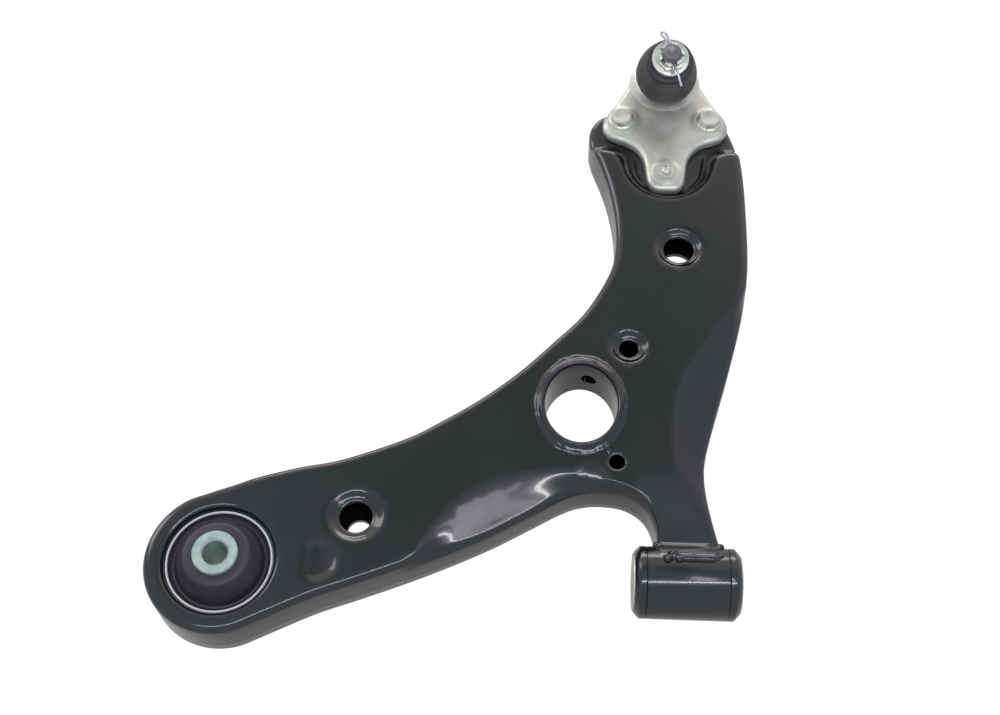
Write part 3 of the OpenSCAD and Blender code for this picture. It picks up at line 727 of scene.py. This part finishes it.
for name, up in (("rear_rubber_upper", 1), ("rear_rubber_lower", -1)):
    half = turned([(sleeve_r, 0), (shell_bore, 0)] + cone, 128)
    if up < 0:
        set_at(half, Matrix.Scale(-1, 4, (0, 0, 1)))
    skin = piece(name, set_at(half, at_rear), bush_rubber, None,
                 ("rear_bush_rubber",))
    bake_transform(skin)
rear_half = [(12.6, 23.9), (12.1, 24.4), (8.2, 24.4), (7.1, 23.3)]
rear_sleeve = turned(both_ends(rear_half), 96)
piece("rear_sleeve_turned", set_at(rear_sleeve, at_rear), sleeve_plate, "rear_sleeve",
      ("rear_bush_inner_sleeve",))

# ---- Ball joint plate ---------------------------------------------------
# A steel forging, zinc plated: a flat plate with a tab, and a collar that flares
# up into the neck of the ball's socket. Two bolts and a rivet hold it.
seat_polymer = finish("seat_polymer", (0.62, 0.6, 0.5), (0.74, 0.71, 0.6), (0.4, 0.55), 80)
ball = Vector((-8.5, 342.5, 14.5))
collar_lean, boot_lean, stud_lean = 12, 16, 20
plate_z, plate_top, plate_round = 8.0, 15.0, 3.2
flat_top = plate_top - 0.4
plate_half = [(6, -53.6), (11, -49), (12.6, -42), (13.2, -35), (14.8, -28.5), (18.8, -22),
              (25, -17.3), (31.5, -14.8), (37, -11.5), (40.3, -5), (39.3, 2), (35.3, 9),
              (31, 15.5), (24.5, 28.5), (20, 37), (9, 41)]
plate_line = smooth_loop([bolt_row + Vector(p) for p in plate_half]
                         + [bolt_row + Vector((-x, y)) for x, y in reversed(plate_half)], 6)
plate_line.reverse()
plate = bmesh.new()
steps = [(1.0, plate_z), (0.3, plate_z + 0.3), (0, plate_z + 1.0), (0, flat_top - plate_round)]
steps += [(plate_round * (1 - cos(radians(a))), flat_top - plate_round * (1 - sin(radians(a))))
          for a in range(15, 91, 15)]
steps.append((4.4, flat_top))
under, over = drawn(plate, [(moved_in(plate_line, by), z) for by, z in steps])
filled(plate, over, [], 1.6)
bmesh.ops.triangle_fill(plate, use_beauty=True, use_dissolve=False, edges=under,
                        normal=(0, 0, -1))
rivet_at = bolt_row - Vector((0, 41))
bolts_at = [bolt_row + Vector((s * 28.25, 0)) for s in (-1, 1)]
for dot in plate.verts:
    if dot.co.z > (plate_top - 0.6) * mm:
        p = Vector(dot.co.xy) / mm
        to_rivet = (p - rivet_at).length
        bolt_boss = 0.7 * ease((11.6 - min((p - b).length for b in bolts_at)) / 1.8)
        rivet_boss = ease((9.9 - to_rivet) / 1.6)
        well = 0.9 * ease((5.6 - to_rivet) / 1.2)
        dot.co.z += (max(bolt_boss, rivet_boss) - well) * mm
piece("ball_joint_forging", plate, zinc_plate, "arm", ("ball_joint_plate",), crease=45)
flare = [(14.1, -6), (14.1, 6.2), (14.6, 6.6), (15.3, 6.6), (15.7, 6.1), (15.8, 4.6),
         (16.4, 3.4), (17.6, 2.3), (19.4, 1.3), (21.4, 0.55), (23.0, 0.05), (23.0, -6)]
neck = turned(flare, 96)
for dot in neck.verts:
    bent = radians(collar_lean) * ease(dot.co.z / mm / 6.0)
    dot.co = Matrix.Rotation(bent, 3, "X") @ dot.co
piece("ball_joint_collar", set_at(neck, Matrix.Translation(ball * mm)), zinc_plate, "arm",
      ("ball_joint_plate",), crease=50)


def at_ball(lean):
    """The ball's centre, leaning back over the arm by an angle in degrees."""
    return Matrix.Translation(ball * mm) @ Matrix.Rotation(radians(lean), 4, "X")


cup = turned([(14.1, -16.5), (16.6, -16.5), (18.0, -15.9), (18.6, -14.5), (18.6, -4),
              (14.1, -4)], 96)
piece("ball_joint_cup", set_at(cup, at_ball(collar_lean)), zinc_plate, "arm",
      ("ball_joint_plate",))
painted("ball_joint_end_cap", zinc_plate)
painted("ball_seat", seat_polymer)

# ---- Mounting bolts and nuts, tab rivet ---------------------------------
# Two round-headed bolts with flanges and their nuts, and the rivet in the tab,
# all zinc plated.
nut_plate = finish("nut_plate", (0.52, 0.53, 0.44), (0.70, 0.70, 0.60), (0.3, 0.42), 160,
                   metallic=0.75, bump=0.05, bump_scale=700)
head = [(0, 4.5), (4.6, 4.5), (5.6, 4.7), (6.3, 4.5), (6.7, 3.9), (6.8, 2.2), (7.1, 1.6),
        (7.9, 1.3), (8.25, 0.9), (8.25, 0), (4, 0), (4, -17), (3.2, -17.8), (0, -17.8)]
for i, spot in enumerate(bolts_at):
    at_bolt = Matrix.Translation(Vector((spot.x, spot.y, plate_top)) * mm)
    piece(f"mounting_bolt_{i + 1}", set_at(turned(head, 64), at_bolt), nut_plate, "arm",
          ("mounting_bolts",))
painted("mounting_nuts", zinc_plate)
pin_head = [(0, 2.4), (1.6, 2.2), (2.6, 1.6), (3.0, 0.9), (3.1, 0.2), (4.7, 0.0), (5.6, -0.1),
            (5.6, -0.9), (4, -0.9), (4, -13), (6, -13), (6, -14.2), (0, -14.2)]
at_rivet = Matrix.Translation(Vector((rivet_at.x, rivet_at.y, plate_top + 1.0)) * mm)
piece("tab_rivet_formed", set_at(turned(pin_head, 48), at_rivet), nut_plate, "arm",
      ("tab_rivet",))

# ---- Dust boot ----------------------------------------------------------
# A thin rubber boot full of grease. Its bulge sits on the socket's neck and its
# shoulder on the stud, so its top is bent over to the stud's lean; wire rings grip
# both lips.
boot_rubber = finish("boot_rubber", (0.020, 0.020, 0.022), (0.034, 0.033, 0.036),
                     (0.42, 0.54), 60, bump=0.08, bump_scale=420)
boot_lip = [(17.4, 7.2), (18.3, 9.0), (19.2, 11.8), (19.6, 14), (19.75, 16), (17.85, 16),
            (17.7, 14), (17.3, 12.2), (16.5, 9.6), (15.8, 7.2)]
boot_low = piece("boot_bulge", set_at(turned(boot_lip, 96), at_ball(boot_lean)), boot_rubber, None,
                 ("dust_boot",), crease=50)
boot_cone = [(19.75, 16), (19.6, 18.4), (19.2, 21), (18.6, 24), (17.9, 27.5), (17.0, 31.5),
             (16.1, 35.5), (15.4, 38.8), (15.1, 40.4), (14.6, 41.4), (13.7, 41.9), (12.0, 42.1),
             (8.4, 42.1), (8.4, 39.6), (12.4, 39.4), (13.4, 38.6), (14.4, 35.2), (15.3, 31.2),
             (16.1, 27.2), (16.8, 24), (17.4, 21), (17.75, 18.4), (17.85, 16)]
boot_high = piece("boot_cone", set_at(turned(boot_cone, 96), at_ball(boot_lean)), boot_rubber, None,
                  ("dust_boot",), crease=50)
boot_axis = Vector((0, -sin(radians(boot_lean)), cos(radians(boot_lean))))
for dot in boot_high.data.vertices:
    h = (dot.co - ball * mm).dot(boot_axis) / mm
    lean = Matrix.Rotation(radians(stud_lean - boot_lean) * ease((h - 24) / 16), 3, "X")
    dot.co = ball * mm + lean @ (dot.co - ball * mm)


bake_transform(boot_low)
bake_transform(boot_high)
for node in ("boot_lower_ring", "boot_upper_ring"):
    painted(node, ring_steel)

# ---- Ball stud ----------------------------------------------------------
# Forged steel: the ball, a neck, the taper for the knuckle and an M12 thread
# whose end stands out of the nut.
bare_steel = finish("bare_steel", (0.13, 0.125, 0.125), (0.24, 0.23, 0.23), (0.34, 0.5), 130,
                    metallic=0.85, bump=0.1, bump_scale=500)
thread_root, thread_crest, pitch, thread_foot = 5.5, 6.0, 1.25, 43.0
thread = []
for k in range(11):
    h = thread_foot + pitch * k
    thread += [(thread_root, h), (thread_crest, h + 0.45), (thread_crest, h + 0.75),
               (thread_root, h + 1.2)]
stud_line = [(6.4, 41.5), (5.6, 42.2)] + thread + [(5.6, 57.0), (4.8, 58.0), (2.2, 58.0),
                                                  (1.6, 57.5), (0, 57.4)]
ball_r = 11.3
ball_arc = [(ball_r * cos(radians(a)), ball_r * sin(radians(a))) for a in range(-78, 50, 6)]
stud = turned([(0, -11.0), (2.2, -11.1)] + ball_arc + [(6.9, 11.2), (6.7, 14.5), (7.8, 20.5),
              (7.8, 23.5)] + stud_line, 64)
piece("ball_stud_threaded", set_at(stud, at_ball(stud_lean)), bare_steel, "stud",
      ("ball_stud",), crease=40)

# ---- Castle nut and cotter pin ------------------------------------------
# A zinc-plated castle nut with a wide flange, its edges broken, locked by a split
# pin of steel wire. One leg is bent over by hand, the other is left long.
pin_steel = finish("pin_steel", (0.46, 0.46, 0.44), (0.64, 0.64, 0.62), (0.28, 0.4), 200,
                   metallic=0.85)
nut = bmesh.new()
nut.from_mesh(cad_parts["castle_nut"].data)
bmesh.ops.remove_doubles(nut, verts=nut.verts, dist=0.00001)
bmesh.ops.dissolve_limit(nut, angle_limit=radians(4), verts=nut.verts, edges=nut.edges)
softened(nut, 0.3, 2, 25)
piece("castle_nut_eased", nut, nut_plate, "stud", ("castle_nut",), crease=40)
pin_height, wire_r = 52.9, 0.75
wire_eye = [(-2.6, 16.2, 0.2), (-3.0, 15.2, 0.2), (-2.6, 13.9, 0.1), (-1.7, 11.9, 0),
            (-0.8, 10.0, 0), (-wire_r, 5, 0)]
wire_line = wire_eye + [(-wire_r, -7.5, 0), (-0.9, -9.3, -0.2), (-1.3, -10.4, -1.4),
                        (-1.6, -10.6, -3.2), (-1.8, -10.4, -5.2)]
wire_back = [(-2.6, 16.2, 0.2), (-1.2, 16.0, 0.2), (-0.2, 14.8, 0.1), (0.6, 12.4, 0),
             (0.8, 10.0, 0), (wire_r, 5, 0), (wire_r, -7.5, 0), (0.9, -9.6, 0.3),
             (1.0, -13.0, 0.2), (1.2, -17.0, -0.8), (1.5, -20.5, -2.2)]


def pin_leg(name, points):
    """One leg of the split pin, drawn along a smooth line through its bends."""
    line = bpy.data.curves.new(name, "CURVE")
    line.dimensions = "3D"
    line.bevel_depth = wire_r * mm
    line.bevel_resolution = 4
    line.resolution_u = 6
    line.use_fill_caps = True
    run = line.splines.new("NURBS")
    run.points.add(len(points) - 1)
    for dot, p in zip(run.points, points):
        dot.co = (p[0] * mm, p[1] * mm, p[2] * mm, 1)
    run.order_u = 4
    run.use_endpoint_u = True
    loose = linked(line, name + "_line")
    bpy.context.view_layer.update()
    mesh = bpy.data.meshes.new_from_object(loose.evaluated_get(
        bpy.context.evaluated_depsgraph_get()))
    bpy.data.objects.remove(loose)
    shape = bmesh.new()
    shape.from_mesh(mesh)
    set_at(shape, at_ball(stud_lean) @ Matrix.Translation((0, 0, pin_height * mm))
           @ Matrix.Rotation(radians(15), 4, "Z"))
    return piece(name, shape, pin_steel, "stud", ("cotter_pin",), crease=60)


pin_leg("cotter_leg_short", wire_line)
pin_leg("cotter_leg_long", wire_back)
